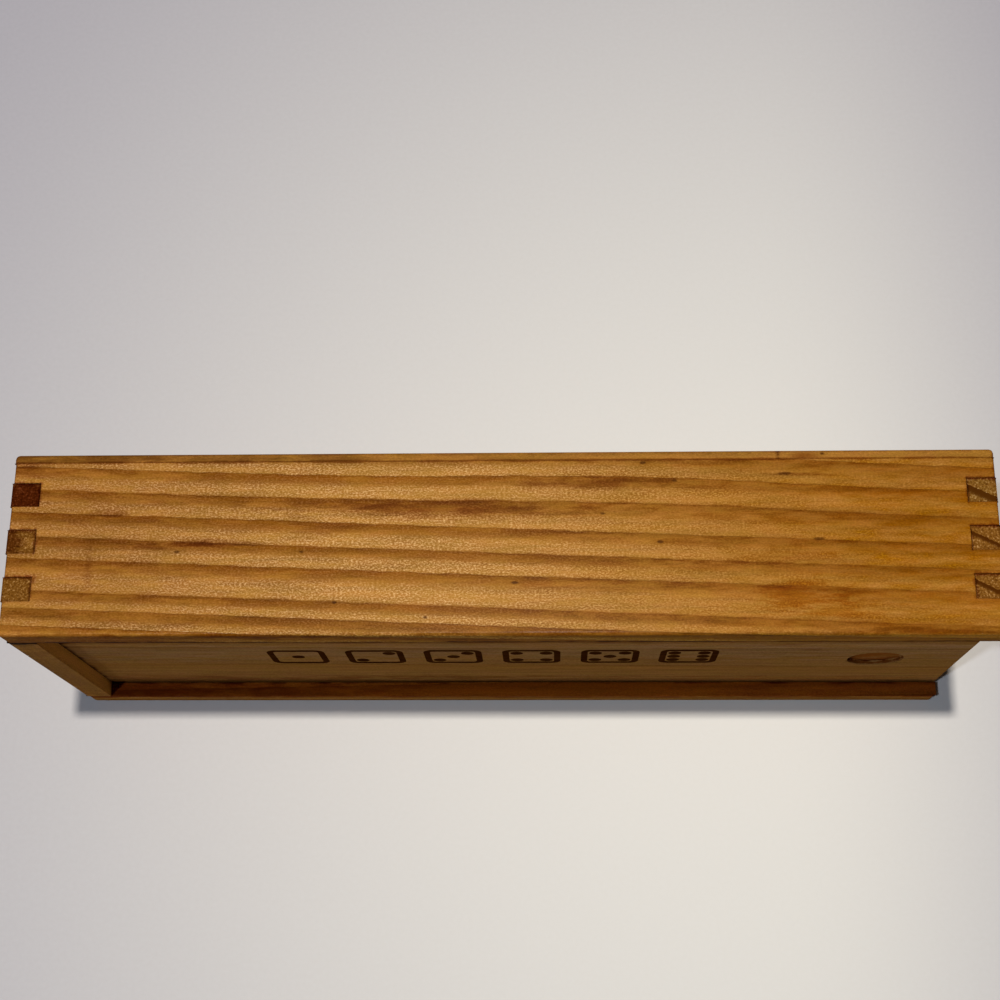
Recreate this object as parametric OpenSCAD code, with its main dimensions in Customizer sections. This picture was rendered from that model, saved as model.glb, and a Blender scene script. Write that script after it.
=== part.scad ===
// Domino storage box: a shallow tray of thin pine boards, finger-jointed at its four
// corners, with a bottom board glued on behind and a lid that slides in grooves.
// The box lies on one long side wall, so its lid faces -Y and slides out towards +X.
// The origin is the middle of the face that it lies on.

/* [Box] */
// Overall length, along X
box_length = 200; // [150:1:280]
// Overall width over both side walls, along Z
box_width = 66; // [50:0.5:100]
// Overall depth from the rim to the back of the bottom board, along Y
box_depth = 38.6; // [34:0.1:70]
// Thickness of the side walls
side_thickness = 6; // [5:0.1:10]
// Thickness of the end walls
end_thickness = 6; // [5:0.1:10]
// Thickness of the bottom board
bottom_thickness = 2; // [1.2:0.1:4]
// Radius of the outer edges
edge_radius = 1; // [0.4:0.1:1.5]

/* [Lid and grooves] */
// Thickness of the lid
lid_thickness = 3.5; // [2.5:0.1:5]
// Depth of the grooves that hold the lid
groove_depth = 3; // [2:0.1:4]
// Wood left between the grooves and the rim
rim_lip = 3.3; // [2:0.1:5]
// Clearance on each face of the lid in its grooves
lid_clearance = 0.2; // [0.1:0.05:0.5]
// Clearance at each edge of the lid, to the bottoms of its grooves
edge_clearance = 0.3; // [0.1:0.05:0.8]
// How far the lid's pull end stops short of the ends of the side walls
lid_setback = 0.2; // [0:0.1:2]

/* [Finger joints] */
// Fingers of an end wall at each corner
finger_count = 3; // [1:1:5]
// Length of the side wall's first tongue, beside the bottom board
first_tongue = 4.4; // [2:0.1:7]

/* [Thumb notch] */
// Diameter of the thumb notch in the lid
notch_diameter = 12; // [8:0.1:25]
// Depth of the thumb notch
notch_depth = 1.1; // [0.5:0.1:2]
// Distance from the lid's pull end to the middle of the notch
notch_inset = 18.4; // [14:0.1:60]
// Distance from the lid's middle line down to the middle of the notch
notch_drop = 4; // [-8:0.1:8]

/* [Hidden] */
$fn = 64;
// How far a cutting shape runs past the face that it leaves through
overcut = 1;
half_length = box_length / 2;
// Places along Y, from the rim to the back
rim_y = -box_depth / 2;
back_y = box_depth / 2;
seam_y = back_y - bottom_thickness;
groove_top_y = rim_y + rim_lip;
groove_floor_y = groove_top_y + lid_thickness + 2 * lid_clearance;
lid_face_y = groove_top_y + lid_clearance;
// The fingers and the side wall's tongues between them share this width evenly
finger_width = (seam_y - first_tongue - groove_floor_y) / (2 * finger_count - 1);
// Inner faces of the walls
inner_x = half_length - end_thickness;
upper_inner_z = box_width - side_thickness;
// The grooves' far corner at the closed end, which the lid's end slides into
groove_end_x = -inner_x - groove_depth;
groove_low_z = side_thickness - groove_depth;
groove_high_z = upper_inner_z + groove_depth;
pine = [0.72, 0.48, 0.22];
shaded_pine = [0.55, 0.38, 0.18];

// A box between two opposite corners
module block(low, high) {
    translate(low) cube(high - low);
}

// A rectangle with round corners, centred
module round_rectangle(a, b) {
    square([a - 2 * edge_radius, b], center = true);
    square([a, b - 2 * edge_radius], center = true);
    for (u = [-1, 1], v = [-1, 1])
        translate([u * (a / 2 - edge_radius), v * (b / 2 - edge_radius)]) circle(edge_radius);
}

// The whole box's outside with all its edges rounded, which every board is trimmed to
module rounded_outside() {
    intersection() {
        linear_extrude(box_width) round_rectangle(box_length, box_depth);
        translate([0, 0, box_width / 2]) rotate([90, 0, 90])
            linear_extrude(box_length, center = true) round_rectangle(box_depth, box_width);
        translate([0, 0, box_width / 2]) rotate([90, 0, 0])
            linear_extrude(box_depth, center = true) round_rectangle(box_length, box_width);
    }
}

// Where the end wall's fingers lie at the +X end, from low_z to high_z and past the
// end by extra: the first is next to the side wall's first tongue
module fingers(low_z, high_z, extra) {
    for (i = [0 : finger_count - 1]) {
        finger_y = seam_y - first_tongue - (2 * i + 1) * finger_width;
        block([inner_x, finger_y, low_z], [half_length + extra, finger_y + finger_width, high_z]);
    }
}

// The long side wall that the box lies on, with a groove along its inner face that is
// open at the +X end
module side_wall() {
    difference() {
        intersection() {
            block([-half_length, rim_y, 0], [half_length, seam_y, side_thickness]);
            rounded_outside();
        }
        for (end = [0, 1])
            mirror([end, 0, 0]) fingers(-overcut, side_thickness + overcut, overcut);
        block([groove_end_x, groove_top_y, groove_low_z],
              [half_length + overcut, groove_floor_y, side_thickness + overcut]);
    }
}

// An end wall at the +X end: it reaches from the bottom board to edge_y between the
// side walls, and its fingers pass through them
module end_wall(edge_y) {
    intersection() {
        union() {
            block([inner_x, edge_y, side_thickness], [half_length, seam_y, upper_inner_z]);
            fingers(0, box_width, 0);
        }
        rounded_outside();
    }
}

module upper_side_wall() {
    color(pine) translate([0, 0, box_width]) mirror([0, 0, 1]) side_wall();
}

module lower_side_wall() {
    color(pine) side_wall();
}

// The full-height end wall, with a groove for the lid's end
module closed_end_wall() {
    color(pine) difference() {
        mirror([1, 0, 0]) end_wall(rim_y);
        block([groove_end_x, groove_top_y, groove_low_z],
              [-inner_x + overcut, groove_floor_y, groove_high_z]);
    }
}

// The end wall that the lid slides out over
module low_end_wall() {
    color(pine) end_wall(groove_floor_y);
}

module bottom_board() {
    color(pine) intersection() {
        block([-half_length, seam_y, 0], [half_length, back_y, box_width]);
        rounded_outside();
    }
}

// The lid, closed, with a round thumb notch near its pull end
module sliding_lid() {
    pull_end_x = half_length - lid_setback;
    color(shaded_pine) difference() {
        block([groove_end_x + edge_clearance, lid_face_y, groove_low_z + edge_clearance],
              [pull_end_x, lid_face_y + lid_thickness, groove_high_z - edge_clearance]);
        translate([pull_end_x - notch_inset, lid_face_y + notch_depth, box_width / 2 - notch_drop])
            rotate([90, 0, 0]) cylinder(h = notch_depth + overcut, d = notch_diameter);
    }
}

upper_side_wall();
lower_side_wall();
closed_end_wall();
low_end_wall();
bottom_board();
sliding_lid();
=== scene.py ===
import math

import bpy
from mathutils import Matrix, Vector


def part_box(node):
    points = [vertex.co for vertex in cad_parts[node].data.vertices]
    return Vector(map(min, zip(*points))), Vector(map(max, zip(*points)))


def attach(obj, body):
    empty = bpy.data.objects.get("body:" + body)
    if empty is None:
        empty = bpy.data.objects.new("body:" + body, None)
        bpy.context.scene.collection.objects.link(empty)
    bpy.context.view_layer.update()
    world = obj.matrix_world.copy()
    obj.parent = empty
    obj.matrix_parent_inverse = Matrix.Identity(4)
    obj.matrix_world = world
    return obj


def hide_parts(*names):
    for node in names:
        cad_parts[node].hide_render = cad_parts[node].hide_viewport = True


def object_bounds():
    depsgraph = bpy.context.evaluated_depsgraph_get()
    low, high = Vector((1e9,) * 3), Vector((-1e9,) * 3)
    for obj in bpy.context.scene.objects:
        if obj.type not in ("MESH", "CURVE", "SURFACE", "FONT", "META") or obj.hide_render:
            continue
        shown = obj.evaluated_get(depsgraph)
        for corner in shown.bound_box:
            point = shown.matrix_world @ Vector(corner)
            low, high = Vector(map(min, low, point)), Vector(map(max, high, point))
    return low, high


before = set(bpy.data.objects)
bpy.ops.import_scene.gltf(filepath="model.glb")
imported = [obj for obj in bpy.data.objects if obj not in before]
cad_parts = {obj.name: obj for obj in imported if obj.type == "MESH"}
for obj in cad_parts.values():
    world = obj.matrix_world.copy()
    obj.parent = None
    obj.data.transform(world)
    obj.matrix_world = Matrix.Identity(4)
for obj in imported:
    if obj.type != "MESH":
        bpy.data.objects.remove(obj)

cad_low, cad_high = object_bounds()


# ---- Camera ----
# A hand-held view from above and a little in front: the box lies on its side wall, with
# its lid towards the viewer.
camera = bpy.data.objects.new("camera", bpy.data.cameras.new("camera"))
camera.location = (0.0114, -0.0893, 0.3523)
camera.rotation_euler = [math.radians(turn) for turn in (17.0, 2.08, 0.38)]
camera.data.lens = 53.9
camera.data.sensor_width = 36
camera.data.shift_y = 0.05
bpy.context.scene.collection.objects.link(camera)
bpy.context.scene.camera = camera
bpy.context.scene.view_settings.view_transform = "Standard"


# ---- Table top ----
# A matt off-white table. Its colour is painted as a pool of light, lighter round the box and
# darker away from it, and the light that it throws back is darker than the colour it shows. It
# carries on past every view and fades into an even pale surround.
def feed(tree, node, sockets):
    """Sets or links these sockets of a node."""
    for socket, value in dict(sockets).items():
        if isinstance(value, bpy.types.NodeSocket):
            tree.links.new(value, node.inputs[socket])
        else:
            node.inputs[socket].default_value = value
    return node


def add(tree, kind, sockets=(), **settings):
    """Adds a node with these settings, and sets or links its sockets."""
    made = tree.nodes.new(kind)
    for name, value in settings.items():
        setattr(made, name, value)
    return feed(tree, made, sockets)


def vector_step(tree, operation, *values):
    """What one Vector Math node gives: a vector, or the number of a length or dot product."""
    made = add(tree, "ShaderNodeVectorMath", dict(enumerate(values)), operation=operation)
    return made.outputs["Value" if operation in ("LENGTH", "DOT_PRODUCT") else "Vector"]


def ramp(tree, value, low, high, out_low=0.0, out_high=1.0, how="SMOOTHSTEP"):
    """A step from low to high, smooth unless it is told how."""
    return add(tree, "ShaderNodeMapRange",
               {"Value": value, "From Min": low, "From Max": high, "To Min": out_low,
                "To Max": out_high}, interpolation_type=how).outputs["Result"]


def noise(tree, place, scale, detail=2.0, roughness=0.5):
    """Soft noise from 0 to 1 at this place."""
    return add(tree, "ShaderNodeTexNoise", {"Vector": place, "Scale": scale, "Detail": detail,
                                            "Roughness": roughness}).outputs[0]


def mixed(tree, factor, first, second, how="MIX"):
    """The colour between two colours at this factor."""
    return add(tree, "ShaderNodeMix", {0: factor, 6: first, 7: second},
               data_type="RGBA", blend_type=how).outputs[2]


def new_material(name):
    """An empty material, its Principled shader and its node tree."""
    material = bpy.data.materials.new(name)
    material.use_nodes = True
    tree = material.node_tree
    return material, tree.nodes["Principled BSDF"], tree


def place_in_scene(name, mesh):
    """A new object at the origin that shows this mesh."""
    made = bpy.data.objects.new(name, mesh)
    bpy.context.scene.collection.objects.link(made)
    return made


light_pool_table_colour = (0.77, 0.729, 0.656, 1)
table_far_colour = (0.403, 0.375, 0.4, 1)
table_bounce_colour = (0.57, 0.54, 0.49, 1)
no_light = (0, 0, 0, 1)
table_reach = 4.0
light_pool_shift = (-0.06, 0.016, 0)
light_pool_shape = (1, 0.8, 1)
light_pool_right_fall = 2.4
light_pool_reach = 0.3
fade_start = 0.35
fade_end = 1.0
speck_share = 0.04
table_mesh = bpy.data.meshes.new("table_top")
table_mesh.from_pydata([(x * table_reach, y * table_reach, 0)
                        for x, y in ((-1, -1), (1, -1), (1, 1), (-1, 1))], [], [(0, 1, 2, 3)])
table = place_in_scene("table_top", table_mesh)
table_finish, table_shader, table_tree = new_material("matt_table_top")
table_place = add(table_tree, "ShaderNodeTexCoord").outputs["Object"]
off_middle = add(table_tree, "ShaderNodeMapping", {
    "Vector": table_place, "Location": light_pool_shift, "Scale": light_pool_shape}).outputs[0]
to_right = vector_step(table_tree, "MULTIPLY", off_middle, (light_pool_right_fall, 1, 1))
to_left = vector_step(table_tree, "MULTIPLY", to_right, (-1 / light_pool_right_fall, 1, 1))
off_middle = vector_step(table_tree, "LENGTH",
                         vector_step(table_tree, "MAXIMUM", to_right, to_left))
# The painted pool of light: the table is lighter near the box and darker away from it.
table_seen = mixed(table_tree, ramp(table_tree, off_middle, 0.0, light_pool_reach), light_pool_table_colour,
                   table_far_colour)
table_seen = mixed(table_tree, speck_share, table_seen,
                   noise(table_tree, table_place, 900.0, 3.0), how="OVERLAY")
fade_share = ramp(table_tree, off_middle, fade_start, fade_end)
table_seen = mixed(table_tree, fade_share, table_seen, no_light)
fade_glow = mixed(table_tree, fade_share, no_light, table_far_colour)
camera_ray = add(table_tree, "ShaderNodeLightPath").outputs["Is Camera Ray"]
feed(table_tree, table_shader, {
    "Base Color": mixed(table_tree, camera_ray, table_bounce_colour, table_seen),
    "Emission Color": mixed(table_tree, camera_ray, no_light, fade_glow),
    "Emission Strength": 1.0, "Roughness": 0.85, "Specular IOR Level": 0.2})
table_mesh.materials.append(table_finish)


# ---- Lamps ----
# Two small soft lamps, a warm one almost straight overhead and a weaker, cooler one high to
# the front left, and a faint even surround.
def add_lamp(name, place, size, power, colour):
    """A square lamp of this size in metres that faces the box."""
    light = bpy.data.lights.new(name, "AREA")
    light.size = size
    light.energy = power
    light.color = colour
    lamp = place_in_scene(name, light)
    lamp.location = place
    lamp.rotation_euler = Vector(place).to_track_quat("Z", "Y").to_euler()


add_lamp("overhead_lamp", (-0.01, 0.049, 1.37), 0.05, 14.9, (1.0, 0.98, 0.94))
add_lamp("second_lamp", (-0.35, -0.286, 1.3), 0.04, 4.9, (0.77, 0.88, 1.07))
surround_light = (0.02, 0.02, 0.019, 1)
surround = bpy.data.worlds.new("surround")
surround.use_nodes = True
bpy.context.scene.world = surround
sky = surround.node_tree
seen = add(sky, "ShaderNodeLightPath").outputs["Is Camera Ray"]
feed(sky, sky.nodes["Background"], {"Color": mixed(sky, seen, surround_light, table_far_colour)})


# ---- Side walls ----
# Two long boards of honey-coloured pine, 6 mm thick, lacquered. Each is grooved along its
# inner face for the lid, and notched at both ends for the end walls' fingers.
def new_group(kind, name, takes, gives):
    """A node group with these inputs and outputs, each a name with its kind of socket."""
    tree = bpy.data.node_groups.new(name, kind)
    for in_out, sockets in (("INPUT", takes), ("OUTPUT", gives)):
        for socket, socket_kind in sockets.items():
            tree.interface.new_socket(socket, in_out=in_out,
                                      socket_type="NodeSocket" + socket_kind)
    return tree, tree.nodes.new("NodeGroupInput").outputs, tree.nodes.new("NodeGroupOutput")


def from_group(tree, group, values):
    """What a node group gives for these values."""
    kind = group.bl_idname.replace("Tree", "Group")
    return add(tree, kind, values, node_tree=group).outputs


def math_step(tree, operation, *values, **settings):
    """The number that one Math node gives."""
    return add(tree, "ShaderNodeMath", dict(enumerate(values)), operation=operation,
               **settings).outputs[0]


def plus(tree, first, second):
    """The sum of two numbers."""
    return math_step(tree, "ADD", first, second)


def minus(tree, first, second):
    """The first number less the second."""
    return math_step(tree, "SUBTRACT", first, second)


def times(tree, first, second):
    """The product of two numbers."""
    return math_step(tree, "MULTIPLY", first, second)


def unsigned(tree, value):
    """The number without its sign."""
    return math_step(tree, "ABSOLUTE", value)


def at_least_zero(tree, value):
    """The number, or zero where it is below that."""
    return math_step(tree, "MAXIMUM", 0.0, value)


def parts(tree, vector):
    """The three numbers of a vector."""
    return add(tree, "ShaderNodeSeparateXYZ", {0: vector}).outputs


def corner(tree, x, y, z):
    """A vector from three lengths."""
    return add(tree, "ShaderNodeCombineXYZ", {0: x, 1: y, 2: z}).outputs[0]


def cuboid(tree, one_corner, other_corner):
    """A block between two opposite corners."""
    size = vector_step(tree, "ABSOLUTE", vector_step(tree, "SUBTRACT", other_corner, one_corner))
    middle = vector_step(tree, "MULTIPLY", vector_step(tree, "ADD", one_corner, other_corner),
                         (0.5, 0.5, 0.5))
    cube = add(tree, "GeometryNodeMeshCube", {"Size": size}).outputs["Mesh"]
    return add(tree, "GeometryNodeTransform", {"Geometry": cube, "Translation": middle}).outputs[0]


def cut(tree, mesh, *cutters):
    """The mesh with the cutters taken away from it."""
    made = add(tree, "GeometryNodeMeshBoolean", {"Mesh 1": mesh}, operation="DIFFERENCE",
               solver="EXACT")
    for cutter in cutters:
        tree.links.new(cutter, made.inputs["Mesh 2"])
    return made.outputs["Mesh"]


def fused(tree, *meshes):
    """These meshes fused into one."""
    made = add(tree, "GeometryNodeMeshBoolean", operation="UNION", solver="EXACT")
    for mesh in meshes:
        tree.links.new(mesh, made.inputs["Mesh 2"])
    return made.outputs["Mesh"]


def plain_mesh(tree, shape, material):
    """The shape as a plain mesh of this material, with which a piece's tree ends."""
    shape = add(tree, "GeometryNodeRealizeInstances", {"Geometry": shape}).outputs[0]
    return add(tree, "GeometryNodeSetMaterial",
               {"Geometry": shape, "Material": material}).outputs[0]


# A row of fingers, or of the notches that they pass through.
finger_row, row_in, row_out = new_group(
    "GeometryNodeTree", "finger_row",
    {"Root X": "Float", "Tip X": "Float", "First Y": "Float", "Width": "Float", "Gap": "Float",
     "Count": "Int", "Low Z": "Float", "High Z": "Float"}, {"Mesh": "Geometry"})
finger_block = cuboid(
    finger_row,
    corner(finger_row, row_in["Root X"], plus(finger_row, row_in["First Y"], row_in["Gap"]),
           row_in["Low Z"]),
    corner(finger_row, row_in["Tip X"], minus(finger_row, row_in["First Y"], row_in["Width"]),
           row_in["High Z"]))
row_step = corner(finger_row, 0.0, times(finger_row, row_in["Width"], -2.0), 0.0)
row_points = add(finger_row, "GeometryNodeMeshLine",
                 {"Count": row_in["Count"], "Offset": row_step}).outputs[0]
row_blocks = add(finger_row, "GeometryNodeInstanceOnPoints",
                 {"Points": row_points, "Instance": finger_block}).outputs[0]
row_blocks = add(finger_row, "GeometryNodeRealizeInstances", {"Geometry": row_blocks}).outputs[0]
feed(finger_row, row_out, {"Mesh": row_blocks})

# Marks how far each edge is eased, fully along the box's outside and a little elsewhere,
# and gives the board its wood.
finished_board, board_in, board_out = new_group(
    "GeometryNodeTree", "finished_board",
    {"Mesh": "Geometry", "Box Low": "Vector", "Box High": "Vector", "Joint Ease": "Float",
     "Wood": "Material"}, {"Mesh": "Geometry"})
on_outside = 0.0004
least_turn = 0.4
edge_place = add(finished_board, "GeometryNodeInputPosition").outputs[0]
over_low = vector_step(finished_board, "SUBTRACT", edge_place, board_in["Box Low"])
under_high = vector_step(finished_board, "SUBTRACT", board_in["Box High"], edge_place)
off_faces = parts(finished_board, vector_step(finished_board, "MINIMUM", over_low, under_high))
meets_x, meets_y, meets_z = [math_step(finished_board, "LESS_THAN", distance, on_outside)
                             for distance in off_faces]
faces_met = plus(finished_board, meets_z, plus(finished_board, meets_x, meets_y))
edge_ease = math_step(finished_board, "MAXIMUM", board_in["Joint Ease"],
                      math_step(finished_board, "GREATER_THAN", faces_met, 1.5))
edge_turn = add(finished_board, "GeometryNodeInputMeshEdgeAngle").outputs["Unsigned Angle"]
edge_ease = times(finished_board, edge_ease,
                  math_step(finished_board, "GREATER_THAN", edge_turn, least_turn))
board_mesh = add(finished_board, "GeometryNodeStoreNamedAttribute",
                 {"Geometry": board_in["Mesh"], "Name": "bevel_weight_edge",
                  "Value": edge_ease}, domain="EDGE", data_type="FLOAT").outputs[0]
board_mesh = add(finished_board, "GeometryNodeSetShadeSmooth",
                 {"Geometry": board_mesh, "Shade Smooth": True}).outputs[0]
feed(finished_board, board_out,
     {"Mesh": plain_mesh(finished_board, board_mesh, board_in["Wood"])})
board_sockets = {"Low": "Vector", "High": "Vector", "Box Low": "Vector", "Box High": "Vector",
                 "Joint Ease": "Float", "Wood": "Material"}
joint_sockets = {"Root X": "Float", "First Y": "Float", "Width": "Float", "Count": "Int",
                 "Groove Low": "Vector", "Groove High": "Vector"}


def end_with_finish(tree, mesh, takes, gives):
    """Ends a board's tree with its eased edges and its wood."""
    shared = {name: takes[name] for name in ("Box Low", "Box High", "Joint Ease", "Wood")}
    feed(tree, gives, {"Mesh": from_group(tree, finished_board, {"Mesh": mesh, **shared})[0]})


# One side wall: a board, less two rows of notches and the lid's groove.
side_board, side_in, side_out = new_group(
    "GeometryNodeTree", "side_board",
    {**board_sockets, **joint_sockets, "Gap": "Float", "Overcut": "Float"}, {"Mesh": "Geometry"})
notch_root = minus(side_board, side_in["Root X"], side_in["Gap"])
notch_tip = plus(side_board, side_in["Root X"], side_in["Overcut"])
notch_low = minus(side_board, parts(side_board, side_in["Low"])[2], side_in["Overcut"])
notch_high = plus(side_board, parts(side_board, side_in["High"])[2], side_in["Overcut"])
notch_rows = [
    from_group(side_board, finger_row, {
        "Root X": times(side_board, notch_root, way), "Tip X": times(side_board, notch_tip, way),
        "Low Z": notch_low, "High Z": notch_high,
        **{name: side_in[name] for name in ("First Y", "Width", "Gap", "Count")}})[0]
    for way in (-1.0, 1.0)]
side_mesh = cut(side_board, cuboid(side_board, side_in["Low"], side_in["High"]), *notch_rows,
                cuboid(side_board, side_in["Groove Low"], side_in["Groove High"]))
end_with_finish(side_board, side_mesh, side_in, side_out)

edge_radius = 0.0007
soft_edge_radius = 0.001


def shape_by(piece, tree, values):
    """Gives a piece this tree's shape, with these values."""
    shape = piece.modifiers.new(tree.name, "NODES")
    shape.node_group = tree
    for socket in tree.interface.items_tree:
        if socket.in_out == "INPUT" and socket.name in values:
            shape[socket.identifier] = values[socket.name]


def finish_piece(name, tree, values, body, node=None, rounding=edge_radius, chipping=None):
    """Makes the plain mesh of a tree with these values, and puts it on its body."""
    piece = place_in_scene(name, bpy.data.meshes.new(name))
    shape_by(piece, tree, values)
    if rounding:
        easing = piece.modifiers.new("eased_edges", "BEVEL")
        easing.limit_method = "WEIGHT"
        easing.width = rounding
        easing.segments = 3
        easing.use_clamp_overlap = False
        easing.harden_normals = True
    if chipping:
        shape_by(piece, *chipping)
    made = bpy.data.meshes.new_from_object(
        piece.evaluated_get(bpy.context.evaluated_depsgraph_get()))
    made.name = name
    piece.modifiers.clear()
    piece.data = made
    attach(piece, body)
    if node:
        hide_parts(node)


# How far the fitted boards stand from the box's true outside, and from each other.
tongue_short = Vector((0.00025, 0, 0))
tongue_short_low_end = Vector((0.0001, 0, 0))
joint_gap = 0.0001
joint_ease = 0.08
overcut = 0.02
upper_low, upper_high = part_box("upper_side_wall")
lower_low, lower_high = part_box("lower_side_wall")
end_low, end_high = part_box("low_end_wall")
lid_low, lid_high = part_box("sliding_lid")
lid_clearance = 0.0002
lid_edge_clearance = 0.0003
finger_width = 0.005
finger_count = 3
first_finger_y = end_low.y + (2 * finger_count - 1) * finger_width
lid_groove_low = Vector((lid_low.x - lid_edge_clearance, lid_low.y - lid_clearance,
                         lid_low.z - lid_edge_clearance))
lid_groove_high = Vector((upper_high.x + overcut, lid_high.y + lid_clearance,
                          lid_high.z + lid_edge_clearance))
box_values = {"Box Low": cad_low, "Box High": cad_high, "Joint Ease": joint_ease}
joint_values = {"Root X": end_low.x, "First Y": first_finger_y, "Width": finger_width,
                "Count": finger_count, "Groove Low": lid_groove_low,
                "Groove High": lid_groove_high}


def tint(red, green, blue):
    """A colour from its three display numbers, 0 to 255."""
    return (*((part / 255) ** 2.2 for part in (red, green, blue)), 1)


def curve(tree, value, *points):
    """The value that a curve through these points gives, between 0 and 1."""
    made = add(tree, "ShaderNodeFloatCurve", {"Value": value})
    line = made.mapping.curves[0]
    for place, height in points[2:]:
        line.points.new(place, height)
    for point, spot in zip(line.points, sorted(points)):
        point.location = spot
    made.mapping.update()
    return made.outputs[0]


def scaled(tree, vector, factors):
    """A vector with each part scaled."""
    return vector_step(tree, "MULTIPLY", vector, factors)


# How far a point lies across the growth rings, in millimetres.
ring_distance, distance_in, distance_out = new_group(
    "ShaderNodeTree", "ring_distance",
    {"Place": "Vector", "Across": "Vector", "Along": "Vector", "Wander": "Float"},
    {"Distance": "Float"})
wander_place = scaled(ring_distance, distance_in["Place"], distance_in["Along"])
wandering = minus(ring_distance, noise(ring_distance, wander_place, 0.055, 2.0, 0.45), 0.5)
straight = vector_step(ring_distance, "DOT_PRODUCT", distance_in["Place"], distance_in["Across"])
feed(ring_distance, distance_out, {"Distance": plus(
    ring_distance, straight, times(ring_distance, wandering, distance_in["Wander"]))})

# One year's wood: pale where it starts, darker towards its end, with a crisp last line.
growth_rings, rings_in, rings_out = new_group(
    "ShaderNodeTree", "growth_rings", {"Years": "Float"},
    {"Latewood": "Float", "Line": "Float", "Year Tone": "Float"})
this_year = math_step(growth_rings, "FLOOR", rings_in["Years"])
year_part = math_step(growth_rings, "FRACT", rings_in["Years"])
year_tone = add(growth_rings, "ShaderNodeTexWhiteNoise", {"W": this_year},
                noise_dimensions="1D").outputs["Value"]
band_part = math_step(growth_rings, "POWER", year_part,
                      ramp(growth_rings, year_tone, 0.0, 1.0, 0.75, 1.7))
year_band = curve(growth_rings, band_part, (0.0, 0.6), (0.04, 0.06), (0.2, 0.0), (0.35, 0.16),
                  (0.5, 0.46), (0.65, 0.76), (0.8, 0.94), (1.0, 1.0))
year_line = curve(growth_rings, year_part, (0.0, 0.5), (0.04, 0.0), (0.84, 0.0), (0.92, 0.3),
                  (0.97, 0.8), (1.0, 1.0))
feed(growth_rings, rings_out,
     {"Latewood": year_band, "Line": year_line, "Year Tone": year_tone})

# The fibres along the board, and the pimples that dried in its lacquer.
pine_fibre, fibre_in, fibre_out = new_group(
    "ShaderNodeTree", "pine_fibre", {"Place": "Vector", "Along": "Vector"},
    {"Streak": "Float", "Pimples": "Float", "Ragged": "Float", "Blotch": "Float",
     "Height": "Float"})
fibre_place = scaled(pine_fibre, fibre_in["Place"], fibre_in["Along"])


def fibre_noise(share, scale):
    """Noise drawn out along the fibres, the less so the larger the share of plain place."""
    plain = scaled(pine_fibre, fibre_in["Place"], (share, share, share))
    return noise(pine_fibre, vector_step(pine_fibre, "ADD", fibre_place, plain), scale, 3.0, 0.6)


long_streak = noise(pine_fibre, fibre_place, 0.9, 4.0, 0.6)
pimple_place = vector_step(
    pine_fibre, "ADD", scaled(pine_fibre, fibre_in["Place"], (0.8, 0.8, 0.8)),
    scaled(pine_fibre, fibre_place, (0.6, 0.6, 0.6)))
pimples = noise(pine_fibre, pimple_place, 2.5, 3.0, 0.65)
fibre_height = plus(pine_fibre, times(pine_fibre, pimples, 0.75),
                    times(pine_fibre, long_streak, 0.25))
feed(pine_fibre, fibre_out, {
    "Streak": long_streak, "Pimples": pimples, "Ragged": fibre_noise(0.12, 1.4),
    "Blotch": fibre_noise(0.3, 0.45), "Height": fibre_height})

# The colour of sawn pine from those.
pine_colour, colour_in, colour_out = new_group(
    "ShaderNodeTree", "pine_colour",
    {"Earlywood": "Color", "Latewood": "Color", "Line": "Color", "Band": "Float",
     "Line Share": "Float", "Year Tone": "Float", "Streak": "Float", "Pimples": "Float",
     "Blotch": "Float"}, {"Color": "Color"})
wood_colour = mixed(pine_colour, colour_in["Band"], colour_in["Earlywood"],
                    colour_in["Latewood"])
wood_colour = mixed(pine_colour, colour_in["Line Share"], wood_colour, colour_in["Line"])
shade = plus(pine_colour, ramp(pine_colour, colour_in["Streak"], 0.3, 0.7, 0.84, 1.1),
             ramp(pine_colour, colour_in["Pimples"], 0.3, 0.72, -0.16, 0.16))
shade = plus(pine_colour, shade,
             ramp(pine_colour, colour_in["Year Tone"], 0.0, 1.0, -0.06, 0.06))
wood_colour = vector_step(pine_colour, "MULTIPLY", wood_colour, shade)
blotch_tint = mixed(pine_colour, ramp(pine_colour, colour_in["Blotch"], 0.35, 0.65),
                    tint(252, 255, 246), tint(258, 253, 266))
feed(pine_colour, colour_out,
     {"Color": vector_step(pine_colour, "MULTIPLY", wood_colour, blotch_tint)})

# How near a point is to the box's outer edges, which years of handling have worn.
worn_edges, worn_in, worn_out = new_group(
    "ShaderNodeTree", "worn_edges",
    {"Place": "Vector", "Box Low": "Vector", "Box High": "Vector", "Reach": "Float"},
    {"Wear": "Float"})
x_gap, y_gap, z_gap = parts(worn_edges, vector_step(
    worn_edges, "MINIMUM",
    vector_step(worn_edges, "SUBTRACT", worn_in["Place"], worn_in["Box Low"]),
    vector_step(worn_edges, "SUBTRACT", worn_in["Box High"], worn_in["Place"])))
nearest = math_step(worn_edges, "MINIMUM", x_gap,
                    math_step(worn_edges, "MINIMUM", y_gap, z_gap))
farthest = math_step(worn_edges, "MAXIMUM", x_gap,
                     math_step(worn_edges, "MAXIMUM", y_gap, z_gap))
to_edge = plus(worn_edges, z_gap, plus(worn_edges, x_gap, y_gap))
to_edge = minus(worn_edges, minus(worn_edges, to_edge, nearest), farthest)
edge_breaks = noise(worn_edges, worn_in["Place"], 0.35, 3.0, 0.65)
edge_reach = times(worn_edges, worn_in["Reach"],
                   ramp(worn_edges, edge_breaks, 0.35, 0.7, 0.2, 1.6))
feed(worn_edges, worn_out, {"Wear": math_step(
    worn_edges, "SUBTRACT", 1.0, math_step(worn_edges, "DIVIDE", to_edge, edge_reach),
    use_clamp=True)})

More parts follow.
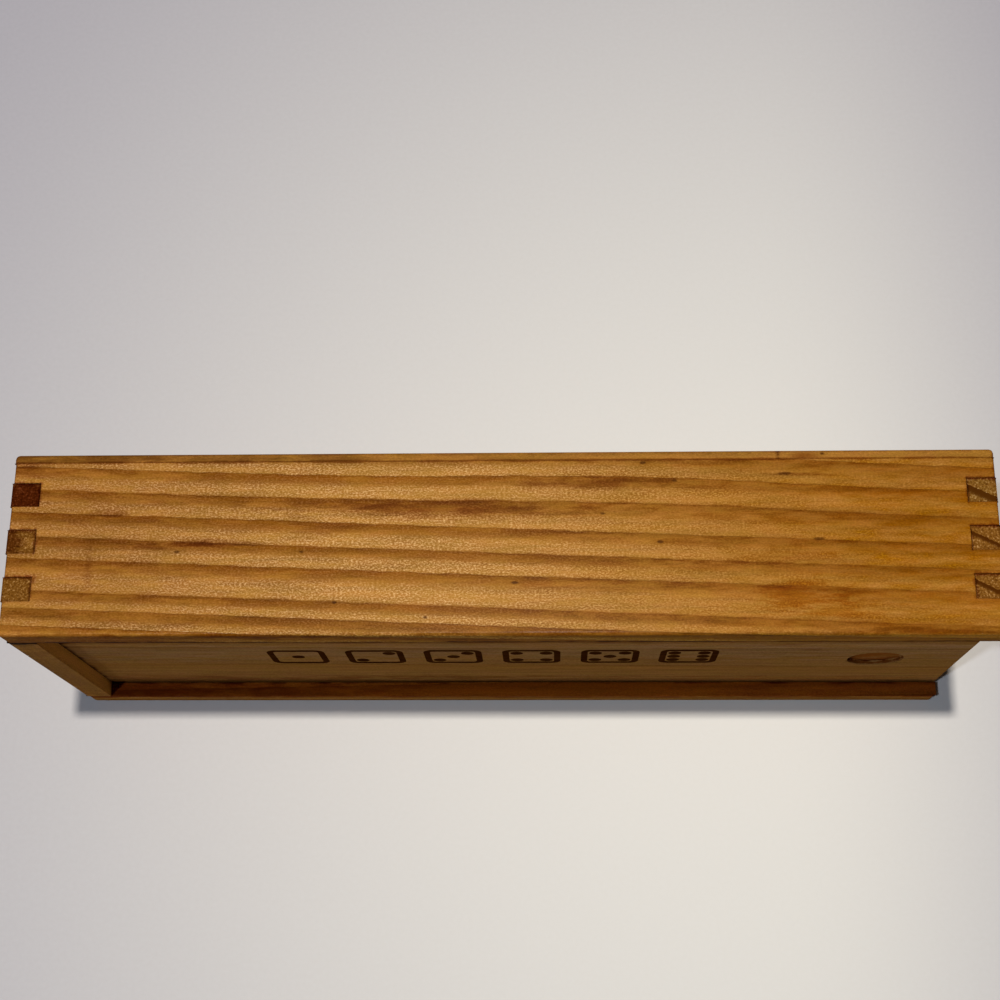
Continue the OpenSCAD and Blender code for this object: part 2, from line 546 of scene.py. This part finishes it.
# A ragged mark of this half size, drawn out along the board.
ragged_mark, mark_in, mark_out = new_group(
    "ShaderNodeTree", "ragged_mark",
    {"Place": "Vector", "Middle": "Vector", "Half Size": "Vector", "Softness": "Float"},
    {"Mark": "Float"})
from_middle = vector_step(ragged_mark, "SUBTRACT", mark_in["Place"], mark_in["Middle"])
from_middle = vector_step(ragged_mark, "DIVIDE", from_middle, mark_in["Half Size"])
mark_ragged = noise(ragged_mark, scaled(ragged_mark, mark_in["Place"], (0.25, 1.2, 1.2)), 0.5,
                    4.0, 0.65)
mark_reach = plus(ragged_mark, vector_step(ragged_mark, "LENGTH", from_middle),
                  ramp(ragged_mark, mark_ragged, 0.3, 0.7, -0.35, 0.45))
feed(ragged_mark, mark_out, {"Mark": math_step(
    ragged_mark, "DIVIDE", minus(ragged_mark, 1.0, mark_reach), mark_in["Softness"],
    use_clamp=True)})

# The dark line of glue and dirt around each finger, on the faces where the joint shows.
joint_line, line_in, line_out = new_group(
    "ShaderNodeTree", "joint_line",
    {"Place": "Vector", "Root X": "Float", "First Y": "Float", "Width": "Float",
     "Count": "Float", "Line Width": "Float"}, {"Line": "Float"})
line_x, line_y = parts(joint_line, line_in["Place"])[:2]
past_root = minus(joint_line, unsigned(joint_line, line_x), line_in["Root X"])
steps_down = math_step(joint_line, "DIVIDE", minus(joint_line, line_in["First Y"], line_y),
                       line_in["Width"])
last_step = minus(joint_line, times(joint_line, line_in["Count"], 2.0), 1.0)
nearest_step = math_step(
    joint_line, "MINIMUM", last_step,
    at_least_zero(joint_line, math_step(joint_line, "ROUND", steps_down)))
off_side = times(joint_line, line_in["Width"],
                 unsigned(joint_line, minus(joint_line, steps_down, nearest_step)))
off_side = plus(joint_line, off_side,
                at_least_zero(joint_line, times(joint_line, past_root, -1.0)))
in_pair = math_step(joint_line, "WRAP", steps_down, 1.5, -0.5)
off_finger = minus(joint_line, unsigned(joint_line, minus(joint_line, in_pair, 0.5)), 0.5)
off_end = plus(joint_line, unsigned(joint_line, past_root),
               times(joint_line, line_in["Width"], at_least_zero(joint_line, off_finger)))
off_row = math_step(joint_line, "MAXIMUM", times(joint_line, steps_down, -1.0),
                    minus(joint_line, steps_down, last_step))
off_end = plus(joint_line, off_end,
               times(joint_line, line_in["Width"], at_least_zero(joint_line, off_row)))
lower_side = math_step(joint_line, "MODULO", nearest_step, 2.0)
line_breaks = noise(joint_line, line_in["Place"], 0.9, 3.0, 0.6)
line_reach = times(joint_line, line_in["Line Width"],
                   ramp(joint_line, line_breaks, 0.3, 0.7, 0.35, 1.5))
side_line = math_step(joint_line, "SUBTRACT", 1.0,
                      math_step(joint_line, "DIVIDE", off_side, line_reach), use_clamp=True)
side_line = times(joint_line, side_line,
                  minus(joint_line, 1.0, times(joint_line, lower_side, 0.75)))
end_line = math_step(joint_line, "SUBTRACT", 0.85,
                     math_step(joint_line, "DIVIDE", off_end, line_reach), use_clamp=True)
feed(joint_line, line_out, {"Line": math_step(joint_line, "MAXIMUM", side_line, end_line)})

# The sawn ends of the fibres: open pores that drank the lacquer and went dark.
end_grain, ends_in, ends_out = new_group(
    "ShaderNodeTree", "end_grain",
    {"Facing": "Vector", "Grain": "Vector", "Place": "Vector"},
    {"Share": "Float", "Pores": "Float"})
faces_end = vector_step(end_grain, "DOT_PRODUCT", ends_in["Facing"], ends_in["Grain"])
feed(end_grain, ends_out, {
    "Share": ramp(end_grain, unsigned(end_grain, faces_end), 0.55, 0.85),
    "Pores": noise(end_grain, ends_in["Place"], 2.3, 4.0, 0.7)})

per_metre = 1000
in_millimetres = (per_metre, per_metre, per_metre)
along_fibres = 0.045
ragged_years = 0.09
dirt_line_width = 0.6
wear_reach = 0.9
wear_strength = 0.55
grain_height = 0.0002
coat_roughness = 0.22


def pine_material(name, years_of, grain, across, wander, palette, marks=(), lacquered=(0, 0, 0),
                  sheen=((0, 0, 0), (1, 1, 1)), jointed=False):
    """Pine with its grain along X or Z, lacquered on the faces that look along an axis, and
    with painted glints that gather in its sheen patch.
    """
    material, shader, tree = new_material(name)
    place_seen = add(tree, "ShaderNodeTexCoord").outputs
    place = scaled(tree, place_seen["Object"], in_millimetres)
    along = tuple(along_fibres if part else 1.0 for part in grain)
    distance = from_group(tree, ring_distance, {
        "Place": place, "Across": across, "Along": along, "Wander": wander})[0]
    fibre = from_group(tree, pine_fibre, {"Place": place, "Along": along})
    uneven = minus(tree, ramp(tree, fibre["Ragged"], 0.2, 0.8, how="LINEAR"), 0.5)
    years = plus(tree, years_of(tree, distance, place), times(tree, uneven, ragged_years))
    rings = from_group(tree, growth_rings, {"Years": years})
    line_share = times(tree, rings["Line"], ramp(tree, fibre["Ragged"], 0.35, 0.65, 0.25, 0.85))
    sheen_share = from_group(tree, ragged_mark, {
        "Place": place, "Middle": sheen[0], "Half Size": sheen[1], "Softness": 0.9})[0]
    # Inside the sheen patch the rings show at full strength, and fainter elsewhere.
    contrast = ramp(tree, sheen_share, 0.0, 1.0, 0.55, 1.0)
    colour = from_group(tree, pine_colour, {
        "Earlywood": palette["earlywood"], "Latewood": palette["latewood"],
        "Line": palette["line"], "Band": times(tree, rings["Latewood"], contrast),
        "Line Share": times(tree, line_share, contrast), "Year Tone": rings["Year Tone"],
        "Streak": fibre["Streak"], "Pimples": fibre["Pimples"], "Blotch": fibre["Blotch"]})[0]
    soft_wood = ramp(tree, rings["Latewood"], 0.0, 0.6, 1.0, 0.15)
    # Painted glints: pale specks on the early wood, thickest inside the sheen patch.
    painted_glints = times(tree, ramp(tree, fibre["Pimples"], 0.45, 0.67),
                 plus(tree, 0.14, times(tree, sheen_share, 0.8)))
    painted_glints = times(tree, painted_glints, ramp(tree, fibre["Blotch"], 0.35, 0.6, 0.65, 1.0))
    colour = mixed(tree, times(tree, painted_glints, soft_wood), colour, palette["painted_glints"])
    ends = from_group(tree, end_grain, {
        "Facing": place_seen["Normal"], "Grain": grain, "Place": place})
    end_colour = mixed(tree, ramp(tree, ends["Pores"], 0.25, 0.6), palette["pores"],
                       palette["ends"])
    # Painted glints also show as pale flecks on the end grain.
    end_colour = mixed(tree, ramp(tree, ends["Pores"], 0.54, 0.7, 0.0, 0.45), end_colour,
                       palette["painted_glints"])
    end_colour = mixed(tree, ramp(tree, rings["Latewood"], 0.78, 0.98), end_colour,
                       palette["pores"])
    colour = mixed(tree, ends["Share"], colour, end_colour)
    if jointed:
        dirt = from_group(tree, joint_line, {
            "Place": place, "Root X": end_low.x * per_metre,
            "First Y": first_finger_y * per_metre, "Width": finger_width * per_metre,
            "Count": float(finger_count), "Line Width": dirt_line_width})[0]
        faces_joint = from_group(tree, end_grain, {
            "Facing": place_seen["Normal"], "Grain": (0, 0, 1), "Place": place})["Share"]
        colour = mixed(tree, times(tree, dirt, faces_joint), colour, joint_dirt, how="MULTIPLY")
    for middle, half_size, softness, strength, stain in marks:
        mark = from_group(tree, ragged_mark, {
            "Place": place, "Middle": middle, "Half Size": half_size, "Softness": softness})[0]
        colour = mixed(tree, times(tree, mark, strength), colour, stain, how="MULTIPLY")
    edge_wear = from_group(tree, worn_edges, {
        "Place": place, "Box Low": cad_low * per_metre, "Box High": cad_high * per_metre,
        "Reach": wear_reach})[0]
    colour = mixed(tree, times(tree, edge_wear, wear_strength), colour, palette["worn"],
                   how="MULTIPLY")
    roughness = plus(tree, ramp(tree, fibre["Pimples"], 0.3, 0.7, 0.6, 0.72),
                     times(tree, ends["Share"], 0.2))
    height = minus(tree, times(tree, fibre["Height"], soft_wood),
                   times(tree, rings["Latewood"], 0.3))
    height = add(tree, "ShaderNodeMix", {0: ends["Share"], 2: height, 3: ends["Pores"]}).outputs[0]
    bump = add(tree, "ShaderNodeBump", {"Height": height, "Strength": 1.0,
                                        "Distance": grain_height}).outputs[0]
    faces_out = unsigned(tree, vector_step(tree, "DOT_PRODUCT", place_seen["Normal"], lacquered))
    lacquer = times(tree, ramp(tree, faces_out, 0.6, 0.9), palette["lacquer"])
    lacquer = times(tree, lacquer, minus(tree, 1.0, edge_wear))
    lacquer = times(tree, lacquer, ramp(tree, sheen_share, -0.5, 1.0, how="LINEAR"))
    feed(tree, shader, {
        "Base Color": colour, "Roughness": roughness, "Normal": bump, "Coat Weight": lacquer,
        "Coat Roughness": coat_roughness, "Specular IOR Level": palette["gloss"]})
    return material


def measured_years(tree, distance, place):
    """Years across the upper side wall, whose rings widen towards the rim."""
    distance = minus(tree, distance, top * ring_tilt)
    x = parts(tree, place)[0]
    swell = curve(tree, ramp(tree, x, -100, 100, how="LINEAR"), (0.0, 0.12), (0.2, 0.1),
                  (0.4, 0.3), (0.57, 0.7), (0.7, 0.8), (0.85, 0.6), (1.0, 0.5))
    swell_share = ramp(tree, distance, 2.0, 12.0, 0.0, 2.9)
    steady = minus(tree, distance, times(tree, swell_share, minus(tree, swell, 0.4)))
    lines = (-36.0, -31.0, -26.3, -21.0, -17.4, -13.8, -7.0, -2.3, 2.8, 8.3, 13.6, 18.8, 24.0)
    lowest, highest, most_years = -40, 30, 15.0
    whole = [((line - lowest) / (highest - lowest), (year + 1) / most_years)
             for year, line in enumerate(lines)]
    years = curve(tree, ramp(tree, steady, lowest, highest, how="LINEAR"), *whole)
    return times(tree, years, most_years)


def even_years(width, start=0.0):
    """Years that are this many millimetres wide."""
    def years_of(tree, distance, place):
        """The years at this distance across the rings."""
        return plus(tree, math_step(tree, "DIVIDE", distance, width), start)
    return years_of


# Each palette's pale speck colour is the colour of the painted glints.
honey = {"earlywood": tint(170, 116, 50), "latewood": tint(128, 75, 12),
         "line": tint(108, 58, 4), "painted_glints": tint(236, 187, 124), "ends": tint(132, 86, 34),
         "pores": tint(78, 42, 12), "worn": tint(190, 160, 130), "gloss": 0.01,
         "lacquer": 0.09}
joint_dirt = tint(150, 62, 30)
ring_tilt = 0.6

# Stains, dirt, wear and shifts of tone, and painted shade and painted highlights where the
# comments say so. Each mark is its middle and half size in millimetres, how soft and how strong
# it is, and the colour that it multiplies the wood by: over 255 is lighter.
top = 66.0
brown_stain = tint(180, 139, 86)
orange_stain = tint(228, 196, 80)
# The colour of the dirt and painted shade along the rim's lower edge, above the lid.
rim_dirt_and_shade = tint(95, 66, 45)
dark_speck = tint(110, 80, 50)
seam_shadow = ((0, 17.3, top), (400, 0.35, 80), 0.6, 0.75, brown_stain)
top_marks = [
    ((-16, 7.0, top), (36, 2.8, 40), 0.9, 0.8, brown_stain),
    ((20, 12.2, top), (22, 2.0, 40), 0.9, 0.6, brown_stain),
    ((-79, 6.2, top), (8, 0.8, 40), 0.8, 0.5, brown_stain),
    ((-61, -0.3, top), (15, 1.2, 40), 0.8, 0.85, brown_stain),
    ((-33, 3.0, top), (10, 2.2, 40), 1.0, 0.4, brown_stain),
    ((-97, 15.6, top), (7, 2.4, 40), 0.8, 0.5, brown_stain),
    ((60, 14.0, top), (9, 0.6, 40), 0.8, 0.6, brown_stain),
    ((57.6, 14.2, top), (2.2, 0.7, 40), 0.8, 0.7, dark_speck),
    ((-93.4, -7.4, top), (0.6, 1.6, 40), 0.8, 0.7, brown_stain),
    ((59.5, -11.6, top), (11, 3.4, 40), 0.5, 0.75, orange_stain),
    ((67.0, -14.6, top), (9, 2.8, 40), 0.7, 0.6, orange_stain),
    ((58, -3.6, top), (14, 1.8, 40), 1.0, 0.45, tint(210, 170, 90)),
    ((85, 0.0, top), (90, 60.0, 80), 1.2, 1.0, tint(212, 187, 54)),
    ((-85, 0.0, top), (65, 60.0, 80), 1.2, 1.0, tint(213, 201, 197)),
    ((-82.6, -6.0, top), (1.2, 6.5, 40), 1.2, 0.5, brown_stain),
    seam_shadow,
    ((0, -19.3, 63), (400, 0.5, 9), 0.6, 0.9, tint(246, 246, 190)),
    ((-90, -19.3, 63), (110, 0.5, 9), 0.9, 0.9, tint(207, 174, 144)),
    ((90, -19.3, 63), (80, 0.5, 9), 0.9, 0.9, tint(302, 318, 330)),
    # Dirt and painted shade along the rim's lower edge, above the lid.
    ((0, -19.3, 60), (400, 1.2, 1.0), 0.6, 0.9, rim_dirt_and_shade),
    # A painted highlight on a lighter worn edge along the top's front edge at the left, and
    # painted shade along that edge at the right.
    ((-78, -19.0, top), (40, 1.0, 1.2), 0.8, 0.7, tint(300, 320, 360)),
    ((88, -19.0, top), (45, 1.3, 1.2), 0.8, 0.8, tint(195, 170, 130)),
]
specks = ((-64.8, -1.9, 0.7), (-39.6, -2.0, 0.7), (-32.5, -12.6, 0.5), (-14.3, -15.7, 0.7),
          (29.2, 16.6, 0.7), (35.7, 12.7, 0.7), (21.1, 5.8, 0.7), (32.4, -0.2, 0.7),
          (3.3, -8.6, 0.8), (64.0, 0.3, 1.4))
top_marks += [((x, y, top), (half_length, 0.42, 40), 0.6, 0.7, dark_speck)
              for x, y, half_length in specks]
# Along the lip: darker and redder all over, painted shade at its back edge where the lid stands
# and towards its left end, and duller towards its right end.
lip_marks = [((0, -18.0, 6.2), (400, 12, 2.0), 0.3, 0.9, tint(206, 154, 78)),
             ((0, -15.2, 6.2), (400, 1.2, 2.0), 0.5, 0.9, tint(140, 80, 60)),
             ((-90, -17.0, 6.2), (80, 6.0, 2.0), 0.9, 0.8, tint(170, 120, 100)),
             ((95, -17.0, 6.2), (70, 6.0, 2.0), 0.9, 0.8, tint(212, 196, 245))]
# The upper wall's sheen patch, where its painted glints and lacquer gather, lies left of the
# middle of its top.
upper_pine = pine_material("upper_side_pine", measured_years, (1, 0, 0), (0.041, 1.0, ring_tilt),
                           0.8, honey, top_marks, (0, 0, 1),
                           ((-35, 0, top), (120, 70, 80)), jointed=True)
lower_pine = pine_material("lower_side_pine", even_years(4.6, 0.35), (1, 0, 0),
                           (-0.02, 1.0, -1.4), 1.6, honey, lip_marks, (0, 0, 1), jointed=True)
for wall, node, low, high, wood, rounding in (
        ("upper_wall_board", "upper_side_wall", upper_low, upper_high, upper_pine, edge_radius),
        ("lower_wall_board", "lower_side_wall", lower_low, lower_high, lower_pine,
         soft_edge_radius)):
    finish_piece(wall, side_board, {
        "Low": low + tongue_short, "High": high - tongue_short_low_end, "Gap": joint_gap,
        "Overcut": overcut, "Wood": wood, **box_values, **joint_values}, "box",
        node, rounding)


# ---- End walls ----
# Two short pine boards with their grain running up between the side walls. Their fingers
# pass through the side walls, are glued there and show their end grain. The closed one
# holds the lid's far end, and the lid slides out over the low one.
end_board, end_in, end_out = new_group(
    "GeometryNodeTree", "end_board",
    {**board_sockets, **joint_sockets, "Tip X": "Float", "Core Low Z": "Float",
     "Core High Z": "Float"}, {"Mesh": "Geometry"})
end_low_parts = parts(end_board, end_in["Low"])
end_high_parts = parts(end_board, end_in["High"])
end_core = cuboid(end_board,
                  corner(end_board, end_low_parts[0], end_low_parts[1], end_in["Core Low Z"]),
                  corner(end_board, end_high_parts[0], end_high_parts[1], end_in["Core High Z"]))
end_fingers = from_group(end_board, finger_row, {
    "Gap": 0.0, "Low Z": end_low_parts[2], "High Z": end_high_parts[2],
    **{name: end_in[name] for name in ("Root X", "Tip X", "First Y", "Width", "Count")}})[0]
end_mesh = cut(end_board, fused(end_board, end_core, end_fingers),
               cuboid(end_board, end_in["Groove Low"], end_in["Groove High"]))
end_with_finish(end_board, end_mesh, end_in, end_out)

closed_low, closed_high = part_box("closed_end_wall")
rim_gap = 0.0002
groove_short = 0.00015
edge_trim = 0.00002
# The groove stops just clear of the closed end's lowest finger. The low end loses a hair
# along its whole edge, which the lid slides over.
closed_groove = (lid_groove_low, lid_groove_high - Vector((0, groove_short, 0)))
low_end_trim = (Vector((end_low.x - overcut, lid_groove_low.y, cad_low.z - overcut)),
                Vector((end_high.x + overcut, end_low.y + edge_trim, cad_high.z + overcut)))
end_wall_marks = {
    "closed_end_wall": [((-97, 10.4, top), (12, 6.5, 3), 0.25, 0.95, tint(150, 92, 80)),
                        ((-97, -2, top), (12, 30, 3), 0.3, 0.9, tint(232, 230, 220)),
                        ((-99.2, 0.4, top), (3.2, 4, 3), 0.6, 0.8, tint(160, 115, 85)),
                        ((-95.6, 0.2, top), (1.6, 1.6, 3), 0.6, 0.8, tint(300, 310, 340)),
                        ((-98.4, 11.7, top), (1.0, 0.9, 3), 0.9, 0.7, tint(380, 440, 620)),
                        ((-97, -19.3, 33), (8, 0.5, 60), 0.6, 0.9, tint(206, 202, 194)),
                        ((-97, -19.3, 60), (8, 2, 1.2), 0.5, 0.9, tint(60, 35, 20))],
    "low_end_wall": [((97, 10.4, top), (6, 4.5, 3), 0.6, 0.9, tint(258, 275, 290))]}
for wall, low, high, node, root, tip, groove, years, across in (
        ("closed_end_board", closed_low, closed_high, "closed_end_wall", closed_high.x,
         closed_low.x, closed_groove, even_years(20.0, 0.05), (1.0, 0.05, 0.02)),
        ("low_end_board", end_low, end_high, "low_end_wall", end_low.x, end_high.x,
         low_end_trim, even_years(4.465, 0.88), (0.45, 0.893, 0.02))):
    wood = pine_material(node + "_pine", years, (0, 0, 1), across, 0.8, honey,
                         end_wall_marks[node], jointed=True)
    finish_piece(wall, end_board, {
        "Low": low, "High": high, "Tip X": tip, "Core Low Z": lower_high.z,
        "Core High Z": upper_low.z - rim_gap, "Wood": wood, **box_values,
        **dict(joint_values, **{"Root X": root, "Groove Low": groove[0],
                                "Groove High": groove[1]})}, "box", node)


# ---- Bottom board ----
# A thin pine board, glued over the back of the four walls. Its long edge is chipped here
# and there.
bottom_tree, bottom_in, bottom_out = new_group(
    "GeometryNodeTree", "bottom_board", board_sockets, {"Mesh": "Geometry"})
end_with_finish(bottom_tree, cuboid(bottom_tree, bottom_in["Low"], bottom_in["High"]), bottom_in,
                bottom_out)
bottom_low, bottom_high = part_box("bottom_board")
chip_size = 0.00048
chip_tree, chip_in, chip_out = new_group(
    "GeometryNodeTree", "edge_chips", {"Mesh": "Geometry", "Chip Size": "Float"},
    {"Mesh": "Geometry"})
chips = []
for x, length, bite in ((-0.0245, 2.6, 0.8), (-0.0155, 1.5, 0.9), (0.0, 2.0, 0.7),
                        (0.038, 1.7, 0.9), (0.0563, 0.6, 0.8), (-0.071, 1.4, 0.7)):
    chip = add(chip_tree, "GeometryNodeMeshIcoSphere",
               {"Radius": chip_in["Chip Size"], "Subdivisions": 2}).outputs[0]
    chips.append(add(chip_tree, "GeometryNodeTransform", {
        "Geometry": chip, "Translation": (x, bottom_high.y, bottom_high.z),
        "Scale": (length, bite, bite), "Rotation": (x * 40, x * 3, x * 4)}).outputs[0])
chipped = add(chip_tree, "GeometryNodeRealizeInstances",
              {"Geometry": cut(chip_tree, chip_in["Mesh"], *chips)}).outputs[0]
feed(chip_tree, chip_out, {"Mesh": chipped})
bottom_marks = [seam_shadow,
                ((-85, 18.0, top), (85, 6, 20), 1.0, 0.95, tint(172, 158, 145)),
                ((56.6, 18.4, top), (0.7, 2.8, 3), 0.9, 0.9, tint(120, 80, 50)),
                ((62.0, 18.0, top), (5.0, 1.2, 3), 0.9, 0.7, brown_stain),
                ((65.5, 18.4, top), (0.7, 0.5, 3), 0.6, 0.8, dark_speck)]
bottom_pine = pine_material("bottom_board_pine", even_years(5.2, 0.3), (1, 0, 0),
                            (0.004, -0.35, 1.0), 1.2, dict(
                                honey, earlywood=tint(166, 114, 50), latewood=tint(146, 96, 36),
                                line=tint(118, 72, 22)), bottom_marks, (0, 1, 0))
finish_piece("bottom_panel", bottom_tree, {
    "Low": bottom_low, "High": bottom_high, "Wood": bottom_pine, **box_values}, "box",
    "bottom_board", soft_edge_radius, (chip_tree, {"Chip Size": chip_size}))


# ---- Lid ----
# A thin pine panel that slides out along the grooves, with a shallow round thumb notch
# near its pull end.
lid_tree, lid_in, lid_out = new_group(
    "GeometryNodeTree", "lid_panel",
    {**board_sockets, "Notch Middle": "Vector", "Notch Radius": "Float", "Notch Depth": "Float"},
    {"Mesh": "Geometry"})
notch_block = add(lid_tree, "GeometryNodeMeshCylinder", {
    "Vertices": 96, "Radius": lid_in["Notch Radius"],
    "Depth": times(lid_tree, lid_in["Notch Depth"], 2.0)}).outputs["Mesh"]
notch_block = add(lid_tree, "GeometryNodeTransform", {
    "Geometry": notch_block, "Translation": lid_in["Notch Middle"],
    "Rotation": (math.radians(90), 0, 0)}).outputs[0]
lid_mesh = cut(lid_tree, cuboid(lid_tree, lid_in["Low"], lid_in["High"]), notch_block)
end_with_finish(lid_tree, lid_mesh, lid_in, lid_out)

notch_radius = 0.006
notch_depth = 0.0011
notch_inset = 0.0184
notch_drop = 0.004
notch_middle = Vector((lid_high.x - notch_inset, lid_low.y,
                       (cad_low.z + cad_high.z) / 2 - notch_drop))
lid_palette = {"earlywood": tint(157, 112, 60), "latewood": tint(146, 100, 46),
               "line": tint(122, 80, 34), "painted_glints": tint(172, 130, 80),
               "ends": tint(150, 104, 58), "pores": tint(110, 70, 34),
               "worn": tint(200, 180, 150), "gloss": 0.0, "lacquer": 0.0}
# The notch is darker inside, with painted shade deepest at its left end and on its lower wall, and
# a painted highlight along its upper edge.
lid_marks = [((81.4, -14.5, 29.0), (14, 0.45, 14), 0.3, 0.95, tint(235, 190, 150)),
             ((81.4, -15.2, 29.0), (14, 0.36, 14), 0.3, 0.95, tint(192, 150, 105)),
             ((81.4, -14.7, 22.3), (7, 0.35, 2.4), 0.6, 0.9, tint(140, 90, 50)),
             ((76.0, -14.9, 28.0), (1.6, 0.9, 4.5), 0.6, 0.9, tint(120, 70, 50)),
             ((79.5, -15.8, 35.6), (4.5, 0.5, 0.5), 0.6, 0.8, tint(290, 285, 280)),
             ((60.0, -15.8, 43.0), (5.0, 2, 1.2), 0.8, 0.6, tint(200, 170, 140)),
             ((66.5, -15.8, 38.0), (4.0, 2, 1.3), 0.8, 0.6, tint(200, 170, 140)),
             # Painted shade on the lid along the corner where it meets the closed end wall.
             ((-94.2, -15.8, 33), (1.1, 3, 60), 0.8, 0.8, tint(110, 70, 45)),
             ((-20, -15.8, 11.3), (24, 2, 3.0), 0.9, 0.7, tint(205, 190, 165)),
             ((36, -15.8, 20.2), (34, 2, 1.3), 0.9, 0.6, tint(282, 278, 272)),
             ((20, -15.8, 11.4), (110, 2, 0.8), 0.8, 0.5, tint(190, 160, 130)),
             # Greyer and bluer over the lid's upper part, painted shade on the lid just under the
             # rim, darker at the lower left, lighter at the lower right, and darker and more
             # orange along the lower edge.
             ((0, -15.8, 37), (400, 2, 9.0), 0.8, 0.8, tint(266, 286, 366)),
             ((0, -15.8, 46.5), (400, 2, 2.2), 0.6, 0.9, tint(205, 172, 130)),
             ((-70, -15.8, 10), (50, 2, 7.0), 1.0, 0.9, tint(228, 208, 215)),
             ((70, -15.8, 8.5), (45, 2, 4.0), 1.0, 0.8, tint(285, 268, 250)),
             ((0, -15.8, 4.5), (130, 2, 9.0), 1.2, 0.5, tint(215, 165, 115))]
lid_pine = pine_material("lid_pine", even_years(17.0, 0.2), (1, 0, 0), (0.02, 0.6, 1.0), 9.0,
                         lid_palette, lid_marks)
finish_piece("lid_panel", lid_tree, {
    "Low": lid_low, "High": lid_high, "Notch Middle": notch_middle,
    "Notch Radius": notch_radius, "Notch Depth": notch_depth, "Wood": lid_pine, **box_values,
    "Joint Ease": 0.2}, "lid", "sliding_lid")


# ---- Printed pips ----
# A row of six domino ends, one to six, printed in dark brown ink along the middle of the
# lid. They are a thin skin on its face and go where it goes.
pip_tree, pip_in, pip_out = new_group(
    "GeometryNodeTree", "printed_pips",
    {"Frame Size": "Float", "Frame Corner": "Float", "Line Width": "Float",
     "Pip Radius": "Float", "Pip Step": "Float", "Pitch": "Float", "First": "Vector",
     "Ink Depth": "Float", "Ink": "Material"}, {"Mesh": "Geometry"})


def frame_line(tree, size, radius):
    """A square outline with round corners."""
    square = add(tree, "GeometryNodeCurvePrimitiveQuadrilateral",
                 {"Width": size, "Height": size}).outputs[0]
    return add(tree, "GeometryNodeFilletCurve", {"Curve": square, "Radius": radius, "Count": 8},
               mode="POLY").outputs[0]


def joined(tree, *shapes):
    """These shapes as one."""
    made = add(tree, "GeometryNodeJoinGeometry")
    for shape in shapes:
        tree.links.new(shape, made.inputs[0])
    return made.outputs[0]


inner_size = minus(pip_tree, pip_in["Frame Size"], times(pip_tree, pip_in["Line Width"], 2.0))
inner_corner = minus(pip_tree, pip_in["Frame Corner"], pip_in["Line Width"])
outer_line = frame_line(pip_tree, pip_in["Frame Size"], pip_in["Frame Corner"])
inner_line = frame_line(pip_tree, inner_size, inner_corner)
pip_line = add(pip_tree, "GeometryNodeCurvePrimitiveCircle",
               {"Resolution": 40, "Radius": pip_in["Pip Radius"]}, mode="RADIUS").outputs[0]
pip_spots = [(-1, -1), (1, 1), (-1, 1), (1, -1), (-1, 0), (1, 0)]
pip_faces = []
for number in range(1, 7):
    pips = []
    for across, up in pip_spots[:number // 2 * 2] + ([(0, 0)] if number % 2 else []):
        spot = corner(pip_tree, times(pip_tree, pip_in["Pip Step"], float(across)),
                      times(pip_tree, pip_in["Pip Step"], float(up)), 0.0)
        pips.append(add(pip_tree, "GeometryNodeTransform",
                        {"Geometry": pip_line, "Translation": spot}).outputs[0])
    filled = add(pip_tree, "GeometryNodeFillCurve",
                 {"Curve": joined(pip_tree, outer_line, inner_line, *pips)},
                 mode="NGONS").outputs[0]
    along_row = corner(pip_tree, times(pip_tree, pip_in["Pitch"], float(number - 1)), 0.0, 0.0)
    pip_faces.append(add(pip_tree, "GeometryNodeTransform",
                         {"Geometry": filled, "Translation": along_row}).outputs[0])
pip_row = joined(pip_tree, *pip_faces)
raised = add(pip_tree, "GeometryNodeExtrudeMesh",
             {"Mesh": pip_row, "Offset Scale": pip_in["Ink Depth"], "Individual": False},
             mode="FACES").outputs[0]
back = add(pip_tree, "GeometryNodeFlipFaces", {0: pip_row}).outputs[0]
closed_row = add(pip_tree, "GeometryNodeMergeByDistance",
                 {"Geometry": joined(pip_tree, raised, back), "Distance": 1e-6}).outputs[0]
on_lid = add(pip_tree, "GeometryNodeTransform",
             {"Geometry": closed_row, "Translation": pip_in["First"],
              "Rotation": (math.radians(90), 0, 0)}).outputs[0]
feed(pip_tree, pip_out, {"Mesh": plain_mesh(pip_tree, on_lid, pip_in["Ink"])})

pip_ink, ink_shader, ink_tree = new_material("printed_brown_ink")
ink_place = scaled(ink_tree, add(ink_tree, "ShaderNodeTexCoord").outputs["Object"],
                   in_millimetres)
ink_grain = noise(ink_tree, scaled(ink_tree, ink_place, (0.12, 1, 1.2)), 1.6, 4.0, 0.6)
ink_bump = add(ink_tree, "ShaderNodeBump", {"Height": ink_grain, "Strength": 0.3,
                                            "Distance": 0.00005}).outputs[0]
feed(ink_tree, ink_shader, {
    "Base Color": mixed(ink_tree, ramp(ink_tree, ink_grain, 0.3, 0.75), tint(54, 27, 10),
                        tint(76, 44, 18)),
    "Roughness": ramp(ink_tree, ink_grain, 0.3, 0.7, 0.6, 0.75), "Normal": ink_bump,
    "Specular IOR Level": 0.0})
finish_piece("printed_pips", pip_tree, {
    "Frame Size": 0.0126, "Frame Corner": 0.0022, "Line Width": 0.0014, "Pip Radius": 0.0014,
    "Pip Step": 0.0032, "Pitch": 0.0171, "First": Vector((-0.0451, lid_low.y, 0.032)),
    "Ink Depth": 0.00002, "Ink": pip_ink}, "lid", rounding=0)
